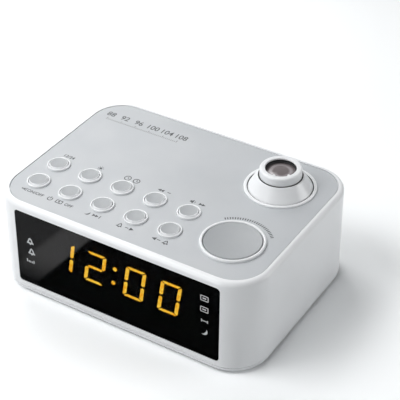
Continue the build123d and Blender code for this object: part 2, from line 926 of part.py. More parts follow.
with BuildPart() as projector_dome:
    with Locations((*projector, ball_center)):
        Sphere(ball_radius)
    waist_radius = sqrt(ball_radius**2 - (dome_waist - ball_center) ** 2)
    reach = 2 * ball_radius
    above_waist = disc(projector, reach, dome_waist, dome_waist + reach)
    below_ball = disc(projector, reach, dome_bottom - reach, dome_bottom)
    revolve(above_waist, axis=upright(projector), mode=Mode.SUBTRACT)
    revolve(below_ball, axis=upright(projector), mode=Mode.SUBTRACT)
    revolve(
        turned(
            projector,
            [(0, dome_waist), (waist_radius, dome_waist), (dome_top_radius, dome_top), (0, dome_top)],
        ),
        axis=upright(projector),
    )
    shelf = focus_bottom - fit
    bore_top = plate_top - light_bore_top
    revolve(
        turned(
            projector,
            [
                (0, dome_bottom),
                (light_bore, dome_bottom),
                (light_bore, bore_top),
                (focus_bore, bore_top),
                (focus_bore, shelf),
                (focus_radius + well_gap, shelf),
                (focus_radius + well_gap, dome_top),
                (0, dome_top),
            ],
        ),
        axis=upright(projector),
        mode=Mode.SUBTRACT,
    )
    for side in (-1, 1):
        hole = Plane(
            origin=(projector[0] + side * (trunnion_end - trunnion_gap), projector[1], ball_center),
            z_dir=(side, 0, 0),
        )
        with BuildSketch(hole):
            Circle(trunnion_radius + fit)
        extrude(amount=ball_radius, mode=Mode.SUBTRACT)
    rims = projector_dome.edges().filter_by(GeomType.CIRCLE)
    rims = rims.filter_by_position(Axis.Z, dome_top - fit, dome_top + fit)
    fillet(rims, dome_round)
save(projector_dome, "projector_dome")

with BuildPart() as focus_ring:
    revolve(
        turned(
            projector,
            [
                (focus_bore, focus_bottom),
                (focus_radius, focus_bottom),
                (focus_radius, focus_top),
                (focus_opening, focus_top),
                (focus_opening, focus_top - focus_lip),
                (focus_bore, focus_top - focus_lip),
            ],
        ),
        axis=upright(projector),
    )
    rims = focus_ring.edges().filter_by(GeomType.CIRCLE)
    rims = rims.filter_by_position(Axis.Z, focus_top - fit, focus_top + fit).sort_by(SortBy.RADIUS)
    fillet(rims[-1], focus_round)
    fillet(rims[0], focus_lip / 2)
save(focus_ring, "focus_ring")

carrier_radius = focus_bore - carrier_fit
with BuildPart() as lens_carrier:
    revolve(
        turned(
            projector,
            [
                (carrier_radius - carrier_wall, carrier_top - carrier_length),
                (carrier_radius, carrier_top - carrier_length),
                (carrier_radius, carrier_top),
                (lens_radius, carrier_top),
                (lens_radius, lens_bottom),
                (carrier_radius - carrier_wall, lens_bottom),
            ],
        ),
        axis=upright(projector),
    )
save(lens_carrier, "lens_carrier")

lens_sphere = (lens_radius**2 + lens_sag**2) / (2 * lens_sag)
with BuildPart() as projector_lens:
    with Locations((*projector, lens_bottom + lens_edge + lens_sag - lens_sphere)):
        Sphere(lens_sphere)
    revolve(
        disc(projector, lens_radius, lens_bottom, lens_bottom + lens_edge + lens_sag),
        axis=upright(projector),
        mode=Mode.INTERSECT,
    )
save(projector_lens, "projector_lens")

with BuildPart() as projector_lcd:
    with Locations((*projector, light_top + lcd_thickness / 2)):
        Box(lcd_size, lcd_size, lcd_thickness)
save(projector_lcd, "projector_lcd")

with BuildPart() as light_tube:
    revolve(
        ring(projector, light_tube_radius - light_tube_wall, light_tube_radius, led_board_top, light_top),
        axis=upright(projector),
    )
save(light_tube, "light_tube")

with BuildPart() as projector_led_board:
    revolve(disc(projector, light_bore - slip / 2, led_board_bottom, led_board_top), axis=upright(projector))
save(projector_led_board, "projector_led_board")

with BuildPart() as projector_led:
    straight = led_board_top + led_height - led_radius
    revolve(disc(projector, led_radius, led_board_top, straight), axis=upright(projector))
    with Locations((*projector, straight)):
        Sphere(led_radius)
save(projector_led, "projector_led")

# ---------------------------------------------------------------- speaker
basket_top = shell_bottom + basket_height
cone_top = shell_bottom + cone_cap_height + cone_cap_thickness
with BuildPart() as speaker_frame:
    revolve(
        turned(
            speaker_center,
            [
                (basket_mouth, shell_bottom),
                (speaker_radius, shell_bottom),
                (speaker_radius, speaker_seat),
                (basket_mouth + 1.1 * basket_wall, speaker_seat),
                (basket_throat + basket_wall / 2, basket_top),
                (basket_bore, basket_top),
                (basket_bore, basket_top - basket_wall),
                (basket_throat, basket_top - basket_wall),
                (basket_mouth, speaker_seat - 0.4 * basket_wall),
            ],
        ),
        axis=upright(speaker_center),
    )
save(speaker_frame, "speaker_frame")

with BuildPart() as speaker_cone:
    revolve(
        turned(
            speaker_center,
            [
                (0, shell_bottom + cone_cap_height),
                (cone_cap, shell_bottom + cone_cap_height),
                (cone_mouth, shell_bottom + cone_lift),
                (cone_mouth, shell_bottom + cone_lift + cone_paper),
                (cone_cap + cone_lift, cone_top),
                (voice_coil_radius, cone_top),
                (voice_coil_radius, shell_bottom + voice_coil_top),
                (voice_coil_radius - voice_coil_wall, shell_bottom + voice_coil_top),
                (voice_coil_radius - voice_coil_wall, cone_top),
                (0, cone_top),
            ],
        ),
        axis=upright(speaker_center),
    )
save(speaker_cone, "speaker_cone")

with BuildPart() as speaker_magnet:
    revolve(
        disc(speaker_center, magnet_radius, basket_top, basket_top + magnet_height),
        axis=upright(speaker_center),
    )
    chamfer(speaker_magnet.edges().filter_by(GeomType.CIRCLE), magnet_chamfer)
save(speaker_magnet, "speaker_magnet")

# ---------------------------------------------------------------- main board, sockets and lead
with BuildPart() as main_board:
    extrude(rectangle(main_board_low, main_board_high, main_board_bottom), amount=board_thickness)
    for place in main_posts:
        revolve(
            disc(place, small_screw_radius + slip, main_board_bottom, main_board_top),
            axis=upright(place),
            mode=Mode.SUBTRACT,
        )
save(main_board, "main_board")


def on_board(place):
    return (main_board_low[0] + place[0], main_board_low[1] + place[1])


with BuildPart() as board_parts:
    for place, size in (tuner_chip, clock_chip, tuner_coil, lead_header):
        with Locations((*on_board(place), main_board_top + size[2] / 2)):
            Box(*size)
    for place in capacitor_places:
        middle = on_board(place)
        revolve(
            disc(middle, capacitor_radius, main_board_top, main_board_top + capacitor_height),
            axis=upright(middle),
        )
save(board_parts, "board_parts")

with BuildPart() as dc_inlet:
    box_back = inner_back - slip
    with Locations((dc_x, box_back - jack_depth / 2, dc_height)):
        Box(dc_width, jack_depth, 2 * (dc_height - main_board_top))
    with BuildSketch(Plane.XZ.offset(-nose_end)):
        with Locations((dc_x, dc_height)):
            Circle(dc_nose_radius)
    extrude(amount=nose_end - box_back + jack_root)
    with BuildSketch(Plane.XZ.offset(-nose_end)):
        with Locations((dc_x, dc_height)):
            Circle(dc_bore_radius)
            Circle(dc_pin_radius, mode=Mode.SUBTRACT)
    extrude(amount=dc_bore_depth, mode=Mode.SUBTRACT)
save(dc_inlet, "dc_inlet")

with BuildPart() as aux_jack:
    with Locations((aux_x, box_back - jack_depth / 2, aux_height)):
        Box(aux_width, jack_depth, 2 * (aux_height - main_board_top))
    with BuildSketch(Plane.XZ.offset(-nose_end)):
        with Locations((aux_x, aux_height)):
            Circle(aux_nose_radius)
    extrude(amount=nose_end - box_back + jack_root)
    with BuildSketch(Plane.XZ.offset(-nose_end)):
        with Locations((aux_x, aux_height)):
            Circle(aux_bore_radius)
    extrude(amount=aux_bore_depth, mode=Mode.SUBTRACT)
save(aux_jack, "aux_jack")

with BuildPart() as aerial_grommet:
    with BuildSketch(Plane.XZ.offset(-nose_end)):
        with Locations((outlet_x, aux_height)):
            Circle(outlet_radius - fit)
    extrude(amount=nose_end - inner_back)
    with BuildSketch(Plane.XZ.offset(-inner_back)):
        with Locations((outlet_x, aux_height)):
            Circle(outlet_radius + grommet_flange)
    extrude(amount=grommet_flange)
    with BuildSketch(Plane.XZ.offset(-nose_end)):
        with Locations((outlet_x, aux_height)):
            Circle(grommet_bore)
    extrude(amount=2 * wall, mode=Mode.SUBTRACT)
save(aerial_grommet, "aerial_grommet")

plug_top = main_board_top + lead_plug[2]
with BuildPart() as projector_lead:
    with Locations((*projector, main_board_top + lead_plug[2] / 2)):
        Box(*lead_plug)
    revolve(disc(projector, lead_radius, plug_top, led_board_bottom - lead_gap), axis=upright(projector))
save(projector_lead, "projector_lead")
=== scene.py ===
import math

import bmesh
import bpy
from mathutils import Matrix, Vector


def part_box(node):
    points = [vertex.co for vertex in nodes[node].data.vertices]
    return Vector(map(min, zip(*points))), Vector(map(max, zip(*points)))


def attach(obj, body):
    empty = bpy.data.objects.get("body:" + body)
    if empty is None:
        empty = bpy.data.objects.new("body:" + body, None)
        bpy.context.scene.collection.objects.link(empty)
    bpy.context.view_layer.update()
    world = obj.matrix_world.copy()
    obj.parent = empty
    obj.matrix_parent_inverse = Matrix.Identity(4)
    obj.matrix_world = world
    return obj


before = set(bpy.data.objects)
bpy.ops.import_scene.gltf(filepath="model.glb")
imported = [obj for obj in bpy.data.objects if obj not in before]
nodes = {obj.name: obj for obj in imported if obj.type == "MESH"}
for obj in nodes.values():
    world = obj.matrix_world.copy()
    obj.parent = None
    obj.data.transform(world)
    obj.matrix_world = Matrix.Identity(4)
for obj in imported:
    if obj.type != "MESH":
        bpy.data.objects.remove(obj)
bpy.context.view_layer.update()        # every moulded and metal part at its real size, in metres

mm = 0.001
print("frame loaded:", len(nodes), "parts")


def linear(hexColor):
    # sRGB hex to the linear values that the shaders work in
    channels = []
    for start in (1, 3, 5):
        value = int(hexColor[start:start + 2], 16) / 255
        channels.append(value / 12.92 if value <= 0.04045 else ((value + 0.055) / 1.055) ** 2.4)
    return (*channels, 1.0)


def add(material, kind, inputs=None, **settings):
    # one node: its settings, then its inputs as plain values or as sockets to link from
    tree = material.node_tree
    node = tree.nodes.new(kind)
    for name, value in settings.items():
        setattr(node, name, value)
    for name, value in (inputs or {}).items():
        socket = node.inputs[name]
        if isinstance(value, bpy.types.NodeSocket):
            tree.links.new(value, socket)
        else:
            socket.default_value = value
    return node


cameraView = {
    "place": (0.32314, -0.47872, 0.47108),
    "azimuth": 32.54,  # degrees round from the front towards the right side
    "elevation": 36.15,
    "roll": -0.8,
    "lens": 116.19, "sensor": 36,  # mm
}


def makeCamera(view):
    data = bpy.data.cameras.new("camera")
    data.lens = view["lens"]
    data.sensor_width = view["sensor"]
    camera = bpy.data.objects.new("camera", data)
    bpy.context.scene.collection.objects.link(camera)
    turn = Matrix.Rotation(math.radians(view["azimuth"]), 4, "Z")
    tilt = Matrix.Rotation(math.radians(90 - view["elevation"]), 4, "X")
    roll = Matrix.Rotation(math.radians(view["roll"]), 4, "Z")
    camera.matrix_world = Matrix.Translation(view["place"]) @ turn @ tilt @ roll
    bpy.context.scene.camera = camera


makeCamera(cameraView)
print("camera placed")

stageValues = {
    "floorRadius": 4.0, "floorSides": 96,
    "floorColor": "#E9EBEC",
    "floorGain": 1.5,  # how much lighter the floor shows than it lights
    "sky": 1.0,  # white behind everything and in reflections; it lights nothing, the lamps alone do
}
lamps = {
    # places and sizes in metres
    "softboxLeft": {"place": (-0.5, -0.4, 0.85), "size": 0.5, "watts": 5.7},
    "softboxBackLeft": {"place": (-0.45, 0.4, 0.9), "size": 0.5, "watts": 1.4},
    "panelBackLeft": {"place": (-0.3, 0.22, 0.4), "size": 0.3, "watts": 0.72},
    "softboxAbove": {"place": (-0.05, 0.0, 1.05), "size": 0.5, "watts": 1.3},
    "softboxFront": {"place": (-0.2, -0.75, 0.8), "size": 0.5, "watts": 1.0},
    "panelFront": {"place": (-0.25, -0.8, 0.2), "size": 0.3, "watts": 1.6},
    "softboxRight": {"place": (0.87, 0.45, 0.24), "size": 0.45, "watts": 3.3},
}
lampAim = (0.0, 0.0, 0.03)  # the middle of the clock


def blank(name):
    # a new material with no nodes yet
    material = bpy.data.materials.new(name)
    material.use_nodes = True
    material.node_tree.nodes.clear()
    return material


def asObject(name, shape, material):
    # a bmesh becomes an object in the scene
    mesh = bpy.data.meshes.new(name)
    shape.to_mesh(mesh)
    shape.free()
    mesh.materials.append(material)
    made = bpy.data.objects.new(name, mesh)
    bpy.context.scene.collection.objects.link(made)
    return made


def seenRay(material):
    # 1 for a ray from the camera, a reflection or a view through glass; 0 for a lighting ray
    path = add(material, "ShaderNodeLightPath")
    camera = path.outputs["Is Camera Ray"]
    glossy = path.outputs["Is Glossy Ray"]
    through = path.outputs["Is Transmission Ray"]
    either = add(material, "ShaderNodeMath", {0: camera, 1: glossy}, operation="MAXIMUM")
    seen = add(material, "ShaderNodeMath", {0: either.outputs[0], 1: through}, operation="MAXIMUM")
    return seen.outputs[0]


def makeStage(values):
    # seamless matt white paper, which keeps the clock's soft shadow, under a plain white sky
    floorPaper = blank("whiteStudioPaper")
    plain = linear(values["floorColor"])
    bright = tuple(channel * values["floorGain"] for channel in plain[:3]) + (1.0,)
    tone = add(floorPaper, "ShaderNodeMix", {"Factor": seenRay(floorPaper), "A": plain, "B": bright},
               data_type="RGBA")
    diffuse = add(floorPaper, "ShaderNodeBsdfDiffuse", {"Color": tone.outputs["Result"]})
    add(floorPaper, "ShaderNodeOutputMaterial", {"Surface": diffuse.outputs[0]})
    shape = bmesh.new()
    bmesh.ops.create_circle(shape, cap_ends=True, segments=values["floorSides"],
                            radius=values["floorRadius"])
    floor = asObject("studioFloor", shape, floorPaper)

    world = bpy.data.worlds.new("studioSky")
    world.use_nodes = True
    world.node_tree.nodes.clear()
    dark = add(world, "ShaderNodeBackground", {"Strength": 0.0})
    white = add(world, "ShaderNodeBackground", {"Color": (1, 1, 1, 1), "Strength": values["sky"]})
    both = add(world, "ShaderNodeMixShader",
               {0: seenRay(world), 1: dark.outputs[0], 2: white.outputs[0]})
    add(world, "ShaderNodeOutputWorld", {"Surface": both.outputs[0]})
    bpy.context.scene.world = world
    bpy.context.scene.view_settings.view_transform = "Standard"


flagValues = {
    "low": (-0.20, -0.16), "high": (0.10, -0.058),  # its corners, in metres like every place on the stage
    "lift": 0.5,  # mm above the floor
    "lightSide": -60.0, "lightFoot": -78.0, "dimSide": -79.0,  # mm; where the light patch ends
    "soft": 3.0, "footSoft": 30.0, "bright": 0.68, "dim": 0.28,
}


def makeFlag(values):
    # a black studio flag on the floor that only reflections see: it keeps the window's face black,
    # and its pale end gives the window one soft patch at the left
    flagCloth = blank("blackStudioFelt")
    place = add(flagCloth, "ShaderNodeTexCoord").outputs["Object"]
    split = add(flagCloth, "ShaderNodeSeparateXYZ", {0: place})
    lightSide, lightFoot, dimSide = values["lightSide"], values["lightFoot"], values["dimSide"]
    soft, halfFoot = values["soft"], values["footSoft"] / 2
    level = 1.0
    for axis, start, end, least, most in (
        ("X", lightSide, lightSide - soft, 0.0, 1.0),
        ("Y", lightFoot + halfFoot, lightFoot - halfFoot, 0.0, 1.0),
        ("X", dimSide - 2 * soft, dimSide, values["dim"], values["bright"]),
    ):
        fade = add(flagCloth, "ShaderNodeMapRange",
                   {"Value": split.outputs[axis], "From Min": start * mm, "From Max": end * mm,
                    "To Min": least, "To Max": most}, interpolation_type="SMOOTHSTEP")
        both = add(flagCloth, "ShaderNodeMath", {0: level, 1: fade.outputs["Result"]}, operation="MULTIPLY")
        level = both.outputs[0]
    glow = add(flagCloth, "ShaderNodeEmission", {"Color": (1, 1, 1, 1), "Strength": level})
    add(flagCloth, "ShaderNodeOutputMaterial", {"Surface": glow.outputs[0]})
    low, high = Vector(values["low"]), Vector(values["high"])
    middle, half = (low + high) / 2, (high - low) / 2
    spot = Matrix.Translation((middle.x, middle.y, values["lift"] * mm))
    size = Matrix.Diagonal((half.x, half.y, 1, 1))
    shape = bmesh.new()
    bmesh.ops.create_grid(shape, x_segments=1, y_segments=1, size=1.0, matrix=spot @ size)
    flag = asObject("windowFlag", shape, flagCloth)
    flag.visible_camera = flag.visible_diffuse = flag.visible_shadow = flag.visible_transmission = False


def makeLamp(name, values):
    data = bpy.data.lights.new(name, "AREA")
    data.shape = "SQUARE"
    data.size = values["size"]
    data.energy = values["watts"]
    lamp = bpy.data.objects.new(name, data)
    bpy.context.scene.collection.objects.link(lamp)
    lamp.location = values["place"]
    away = Vector(values["place"]) - Vector(lampAim)
    lamp.rotation_euler = away.to_track_quat("Z", "Y").to_euler()


makeStage(stageValues)
makeFlag(flagValues)
for lampName, lampValues in lamps.items():
    makeLamp(lampName, lampValues)
print("stage and lamps placed")

noiseRange = {"From Min": 0.35, "From Max": 0.65}  # noise hardly leaves this range


def mottled(material, size, low=0.0, high=1.0, place=None, detail=2.0, rough=0.5):
    # noise from low to high in blotches of size mm, in the part's own coordinates unless place is given
    if place is None:
        place = add(material, "ShaderNodeTexCoord").outputs["Object"]
    noise = add(material, "ShaderNodeTexNoise",
                {"Vector": place, "Scale": 1 / (size * mm), "Detail": detail, "Roughness": rough})
    scaled = add(material, "ShaderNodeMapRange",
                 {"Value": noise.outputs["Fac"], **noiseRange, "To Min": low, "To Max": high})
    return scaled.outputs["Result"]


def twoTones(material, size, hexFrom, hexTo, share=1.0, **more):
    # blotches of size mm, and the colour that goes with them from one tone a share of the way to the other
    blotches = mottled(material, size, 0.0, share, **more)
    mix = add(material, "ShaderNodeMix",
              {"Factor": blotches, "A": linear(hexFrom), "B": linear(hexTo)}, data_type="RGBA")
    return blotches, mix.outputs["Result"]


def unevenGloss(material, values, **more):
    # a roughness that wanders about its middle, in patches of glossSize mm
    middle, reach = values["roughness"], values["glossSpread"]
    return mottled(material, values["glossSize"], middle - reach, middle + reach, **more)


def complete(material, inputs, relief=None, depth=None):
    # the relief, depth mm from its lowest to its highest, then the main shader and the output
    if relief is not None:
        bump = add(material, "ShaderNodeBump", {"Height": relief, "Distance": depth * mm})
        inputs = {**inputs, "Normal": bump.outputs["Normal"]}
    shader = add(material, "ShaderNodeBsdfPrincipled", inputs)
    add(material, "ShaderNodeOutputMaterial", {"Surface": shader.outputs["BSDF"]})
    return material


def grained(material, values, inputs, **more):
    # a finish in which one grain of grainSize mm gives both the change of tone and the relief
    grain, tone = twoTones(material, values["grainSize"], values["dark"], values["light"], **more)
    return complete(material, {"Base Color": tone, **inputs}, grain, values["grainDepth"])


caseAbs = {
    "light": "#F3F5F7", "dark": "#F0F2F4", "flowSize": 45,
    "roughness": 0.30, "glossSpread": 0.01, "glossSize": 45, "ior": 1.53,
    "peelSize": 0.35, "peelDepth": 0.0015,
}


def makeCaseAbs(values):
    # white ABS moulded in a polished tool: a soft gloss with very fine orange peel
    material = blank("whiteMouldedAbs")
    _, tone = twoTones(material, values["flowSize"], values["dark"], values["light"])
    peel = mottled(material, values["peelSize"])
    return complete(
        material, {"Base Color": tone, "Roughness": unevenGloss(material, values), "IOR": values["ior"]},
        peel, values["peelDepth"])


plateLacquer = {
    "light": "#C3C6C9", "dark": "#BBBFC3",
    "roughness": 0.42, "glossSpread": 0.03, "glossSize": 5,
    "flakeSize": 0.12,  # real flakes are finer, and wouldn't show
    "flakeDepth": 0.004, "flakeShare": 0.4, "cloudSize": 30, "cloudShare": 0.6,
}


def makePlateLacquer(values):
    # silver lacquer sprayed on the top plate: satin, with fine flakes that break up the light
    material = blank("silverSprayedLacquer")
    place = add(material, "ShaderNodeTexCoord").outputs["Object"]
    cloud = mottled(material, values["cloudSize"], 0.0, values["cloudShare"])
    flakes = add(material, "ShaderNodeTexVoronoi",
                 {"Vector": place, "Scale": 1 / (values["flakeSize"] * mm)})
    spark = add(material, "ShaderNodeMath", {0: flakes.outputs["Color"], 1: values["flakeShare"], 2: cloud},
                operation="MULTIPLY_ADD", use_clamp=True)
    tones = {"Factor": spark.outputs[0], "A": linear(values["dark"]), "B": linear(values["light"])}
    tone = add(material, "ShaderNodeMix", tones, data_type="RGBA")
    return complete(
        material, {"Base Color": tone.outputs["Result"], "Roughness": unevenGloss(material, values)},
        flakes.outputs["Distance"], values["flakeDepth"])


keyLacquer = {
    "light": "#ABAEB1", "dark": "#A4A8AB", "grainSize": 0.15, "grainDepth": 0.003,
    "roughness": 0.445, "glossSpread": 0.055, "glossSize": 3.0,
}


def makeKeyLacquer(values):
    # silver-grey lacquer on the snooze key and in the keys' dishes: satin, rubbed smoother in patches
    material = blank("greyKeyLacquer")
    return grained(material, values, {"Roughness": unevenGloss(material, values)})


windowAcrylic = {
    "tint": "#3A3D40", "ior": 1.49, "roughness": 0.045, "glossSpread": 0.015, "glossSize": 18,
    "waveSize": 25, "waveDepth": 0.002,
}


def makeWindowAcrylic(values):
    # smoked clear acrylic, polished both sides: nearly black until a segment lights behind it
    material = blank("smokedAcrylic")
    wave = mottled(material, values["waveSize"], detail=0.0)
    return complete(
        material, {"Base Color": linear(values["tint"]), "Roughness": unevenGloss(material, values),
                   "IOR": values["ior"], "Transmission Weight": 1.0},
        wave, values["waveDepth"])


litResin = {
    "base": "#C98A1E", "core": "#FFCB45", "edge": "#F2A01C",
    "roughness": 0.5, "strength": 22.0, "patchSize": 1.6,
}


def makeLitResin(values):
    # amber diffusing resin with its diodes lit behind it: yellower in hot patches, deeper between them
    material = blank("litAmberResin")
    _, glow = twoTones(material, values["patchSize"], values["edge"], values["core"], detail=1.0)
    return complete(material, {"Base Color": linear(values["base"]), "Roughness": values["roughness"],
                               "Emission Color": glow, "Emission Strength": values["strength"]})


blackMoulding = {
    "dark": "#0B0C0D", "light": "#141618", "grainSize": 0.5, "grainDepth": 0.02,
    "roughness": 0.55, "ior": 1.53,
}


def makeBlackMoulding(values):
    # black ABS from a spark-eroded tool: matt and lightly grained
    return grained(blank("blackGrainedAbs"), values,
                   {"Roughness": values["roughness"], "IOR": values["ior"]})


circuitLaminate = {
    "mask": "#0F4A2A", "trace": "#1C6B3E", "track": 2.4, "trackShare": 0.08,
    "roughness": 0.35, "ior": 1.55, "weave": 0.5, "weaveDepth": 0.006,
}


def makeCircuitLaminate(values):
    # glass-epoxy board under green solder mask: tracks show lighter, the weave shows as fine relief
    material = blank("greenCircuitLaminate")
    place = add(material, "ShaderNodeTexCoord").outputs["Object"]
    tracks = add(material, "ShaderNodeTexBrick",
                 {"Vector": place, "Scale": 1 / (values["track"] * mm),
                  "Mortar Size": values["trackShare"], "Mortar": linear(values["trace"]),
                  "Color1": linear(values["mask"]), "Color2": linear(values["mask"])})
    weave = add(material, "ShaderNodeTexChecker", {"Vector": place, "Scale": 1 / (values["weave"] * mm)})
    return complete(
        material, {"Base Color": tracks.outputs["Color"], "Roughness": values["roughness"],
                   "IOR": values["ior"]},
        weave.outputs["Fac"], values["weaveDepth"])


platedSteel = {
    "light": "#C9CBCD", "dark": "#A9ACAF", "grainSize": 0.25, "grainDepth": 0.003, "stretch": 6.0,
    "roughness": 0.34, "glossSpread": 0.08, "glossSize": 1.5,
}


def makePlatedSteel(values):
    # zinc-plated steel: a bright cold grey with short drawing marks
    material = blank("zincPlatedSteel")
    place = add(material, "ShaderNodeTexCoord").outputs["Object"]
    mapping = add(material, "ShaderNodeMapping", {"Vector": place, "Scale": (1.0, 1.0, values["stretch"])})
    drawn = mapping.outputs["Vector"]
    gloss = unevenGloss(material, values, place=drawn)
    return grained(material, values, {"Metallic": 1.0, "Roughness": gloss}, place=drawn)


footRubber = {
    "dark": "#1B1C1D", "light": "#2B2C2D", "dustSize": 3.0,
    "roughness": 0.8, "ior": 1.52, "pitSize": 0.4, "pitDepth": 0.03,
}


def makeFootRubber(values):
    # moulded rubber: dull, slightly dusty and finely pitted
    material = blank("mouldedRubber")
    _, tone = twoTones(material, values["dustSize"], values["dark"], values["light"], detail=4.0)
    pits = mottled(material, values["pitSize"])
    return complete(
        material, {"Base Color": tone, "Roughness": values["roughness"], "IOR": values["ior"]},
        pits, values["pitDepth"])


conePaper = {
    "dark": "#15161A", "light": "#26272B", "roughness": 0.85,
    "grainSize": 0.4, "grainDepth": 0.05,  # a clump of fibres, since one is too thin to show
}


def makeConePaper(values):
    # pressed black paper with its fibres still showing
    return grained(blank("pressedConePaper"), values, {"Roughness": values["roughness"]},
                   detail=6.0, rough=0.7)


magnetFerrite = {
    "dark": "#1E1F21", "light": "#33353A", "grainSize": 0.3, "grainDepth": 0.01,
    "roughness": 0.6, "ior": 2.0,
}


def makeMagnetFerrite(values):
    # sintered ferrite: dark grey ceramic with a ground, finely mottled face
    return grained(blank("sinteredFerrite"), values,
                   {"Roughness": values["roughness"], "IOR": values["ior"]}, detail=5.0)


ledResin = {
    "dark": "#B8241E", "light": "#D8322A", "clear": 0.6, "grainSize": 1.5, "grainDepth": 0.002,
    "roughness": 0.12, "ior": 1.54,
}


def makeLedResin(values):
    # clear epoxy tinted red, cast smooth round the diode, with faint swirls for a grain
    return grained(blank("redLedEpoxy"), values,
                   {"Roughness": values["roughness"], "IOR": values["ior"],
                    "Transmission Weight": values["clear"]}, detail=0.0)


lensAcrylic = {
    # middle is painted shade; the ring tone and the edge tone are painted highlight
    "middle": "#7A7071", "paintedHighlight": "#B9B2B4", "edge": "#8F8788",
    "highlightFrom": 4.6, "highlightTo": 6.4, "soft": 1.6,  # mm from the lens's axis
    "roughness": 0.04, "ior": 1.49, "clear": 0.3, "rippleSize": 6.0, "rippleDepth": 0.001,
}


def makeLensAcrylic(values):
    # optical acrylic with painted light in its colour: painted shade in the middle, where the eye looks
    # down the dark tube, and a pale painted highlight ring with a lighter edge past it, which stand in for
    # the light arcs on the lens
    material = blank("opticalAcrylicPaintedLight")
    place = add(material, "ShaderNodeTexCoord").outputs["Object"]
    low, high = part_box("projector_lens")
    axis = [-(low[side] + high[side]) / 2 for side in (0, 1)]
    flat = add(material, "ShaderNodeMapping",
               {"Vector": place, "Location": (*axis, 0), "Scale": (1, 1, 0)})
    reach = add(material, "ShaderNodeVectorMath", {0: flat.outputs["Vector"]}, operation="LENGTH")
    # from the painted shade in the middle to the painted highlight ring, then the lighter edge, by distance
    # from the lens's axis
    color, half = linear(values["middle"]), values["soft"] / 2
    for radius, tone in ((values["highlightFrom"], values["paintedHighlight"]), (values["highlightTo"], values["edge"])):
        past = add(material, "ShaderNodeMapRange",
                   {"Value": reach.outputs["Value"], "From Min": (radius - half) * mm,
                    "From Max": (radius + half) * mm}, interpolation_type="SMOOTHSTEP")
        mix = add(material, "ShaderNodeMix",
                  {"Factor": past.outputs["Result"], "A": color, "B": linear(tone)}, data_type="RGBA")
        color = mix.outputs["Result"]
    ripple = mottled(material, values["rippleSize"], detail=0.0)
    return complete(
        material, {"Base Color": color, "Roughness": values["roughness"], "IOR": values["ior"],
                   "Transmission Weight": values["clear"]},
        ripple, values["rippleDepth"])


screenInk = {
    "grey": "#35383B", "pale": "#C9CCCE", "thinInk": "#8C9093", "thinShare": 0.2,
    "roughness": 0.55, "meshDepth": 0.004,
    "meshSize": 0.25,  # a real printing mesh is finer, and wouldn't show
}


def makeScreenInk(name, color, values):
    # screen-printed ink: flat, slightly dry, with the mesh showing as tiny changes of tone
    material = blank(name)
    mesh, tone = twoTones(material, values["meshSize"], color, values["thinInk"], values["thinShare"])
    return complete(material, {"Base Color": tone, "Roughness": values["roughness"]},
                    mesh, values["meshDepth"])


gapShadeFelt = {
    "dark": "#151617", "light": "#242628", "roughness": 0.95,
    "grainSize": 0.25, "grainDepth": 0.03,  # a tuft of fibres, since one is too thin to show
}


def makeGapShadeFelt(values):
    # pressed black felt: quite dull, with short fibres standing out of it; its black is painted shade for
    # the gaps it fills
    return grained(blank("blackFeltPaintedShade"), values, {"Roughness": values["roughness"]}, detail=4.0)


white = makeCaseAbs(caseAbs)
silver = makePlateLacquer(plateLacquer)
grey = makeKeyLacquer(keyLacquer)
smoke = makeWindowAcrylic(windowAcrylic)
amber = makeLitResin(litResin)
black = makeBlackMoulding(blackMoulding)
green = makeCircuitLaminate(circuitLaminate)
steel = makePlatedSteel(platedSteel)
rubber = makeFootRubber(footRubber)
paper = makeConePaper(conePaper)
ferrite = makeMagnetFerrite(magnetFerrite)
red = makeLedResin(ledResin)
clear = makeLensAcrylic(lensAcrylic)
greyInk = makeScreenInk("greyScreenInk", screenInk["grey"], screenInk)
paleInk = makeScreenInk("paleScreenInk", screenInk["pale"], screenInk)
shadeFelt = makeGapShadeFelt(gapShadeFelt)

frontKeys, backKeys = range(1, 6), range(6, 11)
keyCaps = [f"button_{number}" for number in (*frontKeys, *backKeys)]
keyDishes = [f"button_insert_{number}" for number in (*frontKeys, *backKeys)]
finishes = [
    (white, ["upper_shell", "base_cover", "battery_door", "projector_socket", "projector_dome",
             "focus_ring", *keyCaps]),
    (silver, ["top_plate"]),
    (grey, ["snooze_button", "snooze_insert", *keyDishes]),
    (smoke, ["display_window"]),
    (amber, ["display_segments"]),
    (black, ["display_frame", "led_module", "key_switches", "projector_retainer", "board_parts", "dc_inlet",
             "aux_jack", "swivel_cradle", "light_tube", "lens_carrier"]),
    (green, ["display_board", "key_board", "main_board", "projector_led_board"]),
    (steel, ["battery_contacts", "case_screws", "board_screws", "projector_screws", "speaker_screws",
             "speaker_frame"]),
    (rubber, ["rubber_feet", "aerial_grommet", "projector_lead"]),
    (paper, ["speaker_cone"]),
    (ferrite, ["speaker_magnet"]),
    (red, ["projector_led"]),
    (clear, ["projector_lcd", "projector_lens"]),
]
for material, names in finishes:
    for name in names:
        nodes[name].data.materials.clear()
        nodes[name].data.materials.append(material)
print("finishes given to", sum(len(names) for _, names in finishes), "parts")


def asPiece(name, shape, material, body):
    # a bmesh in mm becomes a finished piece in metres that rides on a body
    bmesh.ops.scale(shape, vec=(mm, mm, mm), verts=shape.verts)
    bmesh.ops.recalc_face_normals(shape, faces=shape.faces)
    piece = asObject(name, shape, material)
    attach(piece, body)
    return piece


def boxOf(node):
    # a node's corners and centre in mm
    low, high = (Vector(corner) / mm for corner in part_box(node))
    return low, high, (low + high) / 2


ink = {
    "thickness": 0.03, "stroke": 0.5, "fineStroke": 0.35,  # mm
    "arcStep": 15, "leastArcSteps": 4, "discSides": 32,
    "letterSpread": 0.05, "letterSteps": 4, "weld": 0.001,
    "capitalShare": 0.73,  # of the font's size
}
inkLift = ink["thickness"] / 3  # the middle of the ink stands this far off its face, so its back sinks in


def at(x, y):
    return Matrix.Translation((x, y, 0))


